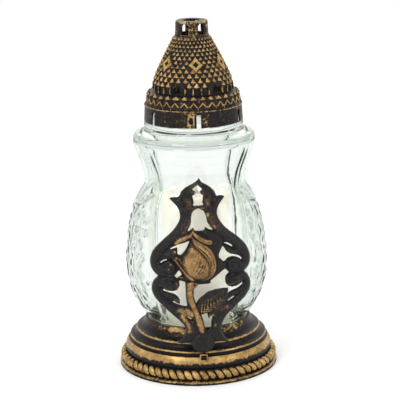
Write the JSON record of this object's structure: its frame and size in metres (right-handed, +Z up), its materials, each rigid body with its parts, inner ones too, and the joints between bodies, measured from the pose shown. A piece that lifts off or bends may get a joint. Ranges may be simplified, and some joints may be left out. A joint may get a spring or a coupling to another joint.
{
  "type": "glass memorial lantern oil lamp",
  "caption": "Waisted pressed-glass memorial oil lamp with a bronzed pedestal, a rose openwork ornament, a vented lift-off lid and a drop-in fuel insert.",
  "frame": {"origin": "centre of the pedestal's underside, on the surface that the lantern stands on", "axes": "+Z up through the chimney, -Y towards the rose ornament, +X to the right seen from the front"},
  "size_m": [0.1374, 0.1374, 0.3],
  "materials": {
    "bronzed_plastic": "satin black-brown plastic rubbed with gold on its high edges",
    "dark_bronze_plastic": "satin near-black plastic with a little gold on its edges",
    "gold_rubbed_plastic": "satin plastic rubbed with antique gold",
    "jar_glass": "clear pressed soda-lime glass with a pale green tint",
    "insert_plastic": "translucent milky plastic",
    "solid_fuel": "smooth cream wax",
    "tinplate": "bright tinplate",
    "wick_cotton": "braided cotton",
    "hot_melt": "satin amber adhesive"
  },
  "bodies": {
    "lantern": {"base_shell": "bronzed_plastic", "jar_glue_bead": "hot_melt", "glass_jar_heel": "jar_glass", "glass_jar_belly": "jar_glass", "glass_jar_neck": "jar_glass", "ornament_frame": "dark_bronze_plastic", "ornament_rose": "gold_rubbed_plastic", "ornament_stem": "gold_rubbed_plastic", "ornament_leaf": "dark_bronze_plastic"},
    "lid": {"lid_shell": "bronzed_plastic", "lid_heat_shield": "tinplate"},
    "insert": {"insert_cup": "insert_plastic", "insert_fuel": "solid_fuel", "insert_cap": "insert_plastic", "wick_collar": "tinplate", "wick": "wick_cotton", "wick_foot": "tinplate"}
  },
  "joints": [
    {"name": "lid_lift", "type": "slide", "parent": "lantern", "child": "lid", "axis": [0, 0, 1], "range_m": [0, 0.33]},
    {"name": "insert_lift", "type": "slide", "parent": "lantern", "child": "insert", "axis": [0, 0, 1], "range_m": [0, 0.2]}
  ],
  "couplings": [
    {"joint": "insert_lift", "follows": "lid_lift", "ratio": 0.6}
  ]
}
